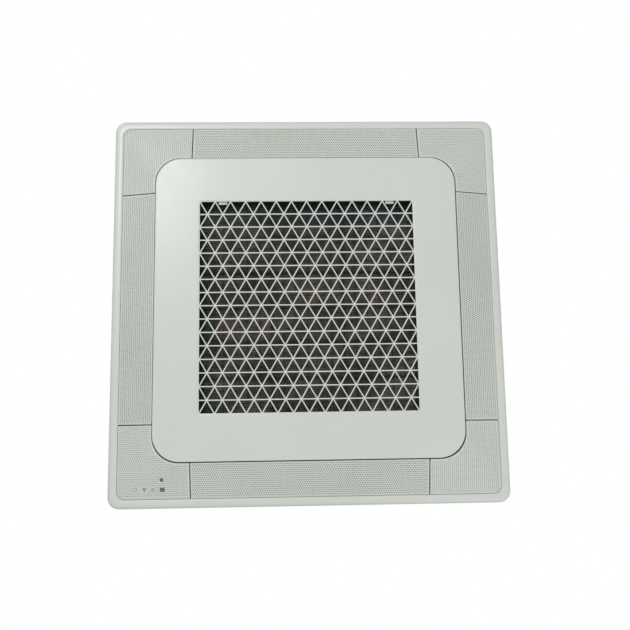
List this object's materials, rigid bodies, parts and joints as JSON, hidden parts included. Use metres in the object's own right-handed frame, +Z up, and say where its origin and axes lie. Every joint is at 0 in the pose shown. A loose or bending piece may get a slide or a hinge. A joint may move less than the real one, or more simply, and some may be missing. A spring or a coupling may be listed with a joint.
{
  "type": "ceiling air diffuser cassette",
  "caption": "Square white ceiling cassette: triangular-lattice intake grille, perforated swinging louvres and corner covers, with its fan-coil unit above the ceiling.",
  "frame": {"origin": "centre of the square decor panel, on the ceiling plane that its rim lies against", "axes": "+Z up into the ceiling void; the visible face looks down -Z; +Y towards the intake grille's hinges, and the display corner is at -X, +Y"},
  "size_m": [0.641, 0.62, 0.2895],
  "materials": {
    "white_plastic": "satin off-white moulding",
    "perforated_plastic": "satin off-white, pierced with fine staggered holes",
    "dark_plastic": "matt near-black moulding",
    "filter_net": "fine brown-grey woven net",
    "lens": "smoked gloss",
    "foam": "expanded foam",
    "galvanised_steel": "galvanised sheet",
    "plated_steel": "zinc plated",
    "coil_aluminium": "closely pitched fins",
    "motor_aluminium": "die-cast, satin",
    "copper": "drawn copper tube",
    "brass": "machined brass",
    "circuit_board": "green solder mask"
  },
  "bodies": {
    "cassette": {"louvre_motor_right": "white_plastic", "casing_right": "galvanised_steel", "louvre_motor_hinge_side": "white_plastic", "casing_hinge_side": "galvanised_steel", "louvre_motor_left": "white_plastic", "casing_left": "galvanised_steel", "louvre_motor_latch_side": "white_plastic", "casing_latch_side": "galvanised_steel", "panel_screw_hinge_right": "plated_steel", "casing_corner_hinge_right": "galvanised_steel", "hanger_hinge_right": "galvanised_steel", "panel_screw_display": "plated_steel", "casing_corner_display": "galvanised_steel", "hanger_display": "galvanised_steel", "panel_screw_latch_left": "plated_steel", "casing_corner_latch_left": "galvanised_steel", "hanger_latch_left": "galvanised_steel", "panel_screw_latch_right": "plated_steel", "casing_corner_latch_right": "galvanised_steel", "hanger_latch_right": "galvanised_steel", "decor_frame": "white_plastic", "hinge_pin_left": "plated_steel", "hinge_pin_right": "plated_steel", "display_board": "circuit_board", "outlet_seal": "foam", "drain_pan": "foam", "bell_mouth": "dark_plastic", "heat_exchanger": "coil_aluminium", "fan_motor": "motor_aluminium", "casing_insulation": "foam", "control_box": "galvanised_steel", "control_box_cover": "galvanised_steel", "casing_top": "galvanised_steel", "pipe_plate": "galvanised_steel", "gas_pipe": "copper", "liquid_pipe": "copper", "gas_flare_nut": "brass", "liquid_flare_nut": "brass", "drain_socket": "white_plastic", "cable_gland": "dark_plastic", "drain_pump": "white_plastic", "float_switch": "white_plastic"},
    "louvre_right_body": {"louvre_right": "perforated_plastic"},
    "louvre_hinge_side_body": {"louvre_hinge_side": "perforated_plastic"},
    "louvre_left_body": {"louvre_left": "perforated_plastic"},
    "louvre_latch_side_body": {"louvre_latch_side": "perforated_plastic"},
    "cover_hinge_right": {"corner_cover_hinge_right": "perforated_plastic"},
    "cover_display": {"corner_cover_display": "perforated_plastic", "receiver_window": "lens", "indicator_window": "lens"},
    "cover_latch_left": {"corner_cover_latch_left": "perforated_plastic"},
    "cover_latch_right": {"corner_cover_latch_right": "perforated_plastic"},
    "grille": {"intake_grille": "white_plastic", "filter_frame": "dark_plastic", "filter_net": "filter_net"},
    "latch_left": {"grille_latch_left": "white_plastic"},
    "latch_right": {"grille_latch_right": "white_plastic"},
    "fan": {"turbo_fan": "dark_plastic", "fan_nut": "plated_steel"}
  },
  "joints": [
    {"name": "louvre_right_swing", "type": "hinge", "parent": "cassette", "child": "louvre_right_body", "pos_m": [0.2505, 0, -0.0128], "axis": [0, 1, 0], "range_deg": [0, 60]},
    {"name": "louvre_hinge_side_swing", "type": "hinge", "parent": "cassette", "child": "louvre_hinge_side_body", "pos_m": [0, 0.2505, -0.0128], "axis": [-1, 0, 0], "range_deg": [0, 60]},
    {"name": "louvre_left_swing", "type": "hinge", "parent": "cassette", "child": "louvre_left_body", "pos_m": [-0.2505, 0, -0.0128], "axis": [0, -1, 0], "range_deg": [0, 60]},
    {"name": "louvre_latch_side_swing", "type": "hinge", "parent": "cassette", "child": "louvre_latch_side_body", "pos_m": [0, -0.2505, -0.0128], "axis": [1, 0, 0], "range_deg": [0, 60]},
    {"name": "cover_hinge_right_pull", "type": "slide", "parent": "cassette", "child": "cover_hinge_right", "axis": [0, 0, -1], "range_m": [0, 0.035]},
    {"name": "cover_display_pull", "type": "slide", "parent": "cassette", "child": "cover_display", "axis": [0, 0, -1], "range_m": [0, 0.035]},
    {"name": "cover_latch_left_pull", "type": "slide", "parent": "cassette", "child": "cover_latch_left", "axis": [0, 0, -1], "range_m": [0, 0.035]},
    {"name": "cover_latch_right_pull", "type": "slide", "parent": "cassette", "child": "cover_latch_right", "axis": [0, 0, -1], "range_m": [0, 0.035]},
    {"name": "grille_swing", "type": "hinge", "parent": "cassette", "child": "grille", "pos_m": [0, 0.2353, -0.019], "axis": [1, 0, 0], "range_deg": [0, 45]},
    {"name": "latch_left_slide", "type": "slide", "parent": "grille", "child": "latch_left", "axis": [0, 1, 0], "range_m": [0, 0.004], "stiffness_N_per_m": 400, "springref_m": -0.002},
    {"name": "latch_right_slide", "type": "slide", "parent": "grille", "child": "latch_right", "axis": [0, 1, 0], "range_m": [0, 0.004], "stiffness_N_per_m": 400, "springref_m": -0.002},
    {"name": "fan_spin", "type": "hinge", "parent": "cassette", "child": "fan", "pos_m": [0, 0, 0.1], "axis": [0, 0, 1], "continuous": true}
  ]
}
